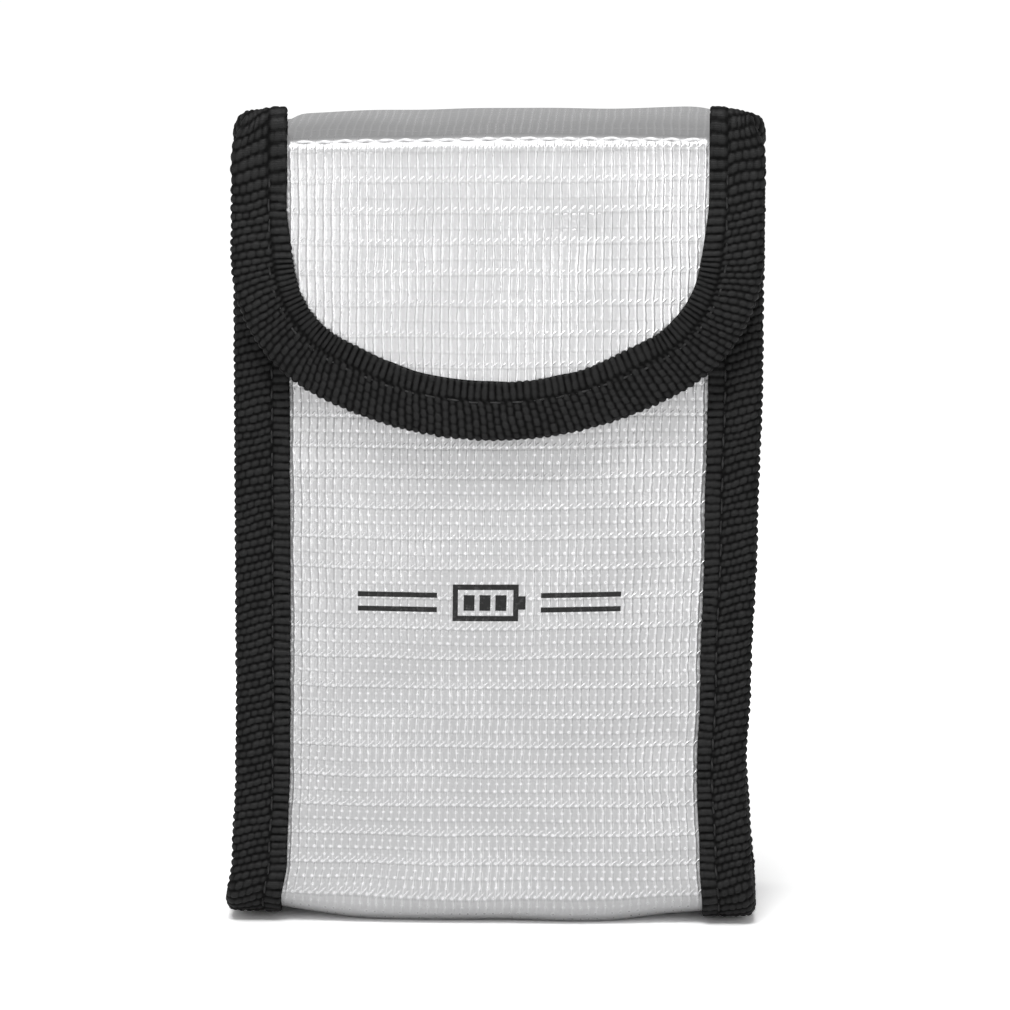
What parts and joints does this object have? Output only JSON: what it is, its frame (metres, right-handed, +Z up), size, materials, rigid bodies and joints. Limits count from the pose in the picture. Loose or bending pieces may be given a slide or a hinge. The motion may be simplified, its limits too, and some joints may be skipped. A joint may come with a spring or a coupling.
{
  "type": "fire-resistant battery pouch",
  "caption": "Upright fabric pouch with webbing-bound seams, side gussets, a hinged lid panel and a round-ended front flap that closes with hook and loop tape over one drone battery.",
  "frame": {"origin": "middle of the floor's flat outer face, half-way between the side seams and half-way between the front and back seams", "axes": "+X to the viewer's right across the front, +Y towards the back, +Z up towards the lid"},
  "size_m": [0.095, 0.0553, 0.145],
  "materials": {
    "silver_cloth": "silver coated glass cloth with a raised grid weave, semi-gloss",
    "lining_cloth": "plain grey heat-resistant lining cloth, matte",
    "black_webbing": "ribbed black polyester webbing, matte",
    "loop_tape": "black loop pile tape, matte",
    "hook_tape": "black hook tape, satin",
    "white_thread": "white sewing thread",
    "black_thread": "black sewing thread"
  },
  "bodies": {
    "pouch": {"outer_shell": "silver_cloth", "left_gusset": "silver_cloth", "right_gusset": "silver_cloth", "shell_lining": "lining_cloth", "left_gusset_lining": "lining_cloth", "right_gusset_lining": "lining_cloth", "left_body_binding": "black_webbing", "right_body_binding": "black_webbing", "front_mouth_binding": "black_webbing", "left_mouth_binding": "black_webbing", "right_mouth_binding": "black_webbing", "loop_strip": "loop_tape", "back_crease_stitching": "white_thread", "left_binding_stitching": "black_thread", "right_binding_stitching": "black_thread"},
    "lid": {"lid_panel": "silver_cloth", "lid_lining": "lining_cloth", "left_lid_binding": "black_webbing", "right_lid_binding": "black_webbing"},
    "flap": {"flap_panel": "silver_cloth", "flap_lining": "lining_cloth", "flap_binding": "black_webbing", "hook_strip": "hook_tape", "flap_binding_stitching": "black_thread", "crease_stitching": "white_thread"}
  },
  "joints": [
    {"name": "lid_hinge", "type": "hinge", "parent": "pouch", "child": "lid", "pos_m": [0, 0.0197, 0.14195], "axis": [-1, 0, 0], "range_deg": [0, 175]},
    {"name": "flap_hinge", "type": "hinge", "parent": "lid", "child": "flap", "pos_m": [0, -0.0247, 0.14195], "axis": [-1, 0, 0], "range_deg": [0, 120]}
  ]
}
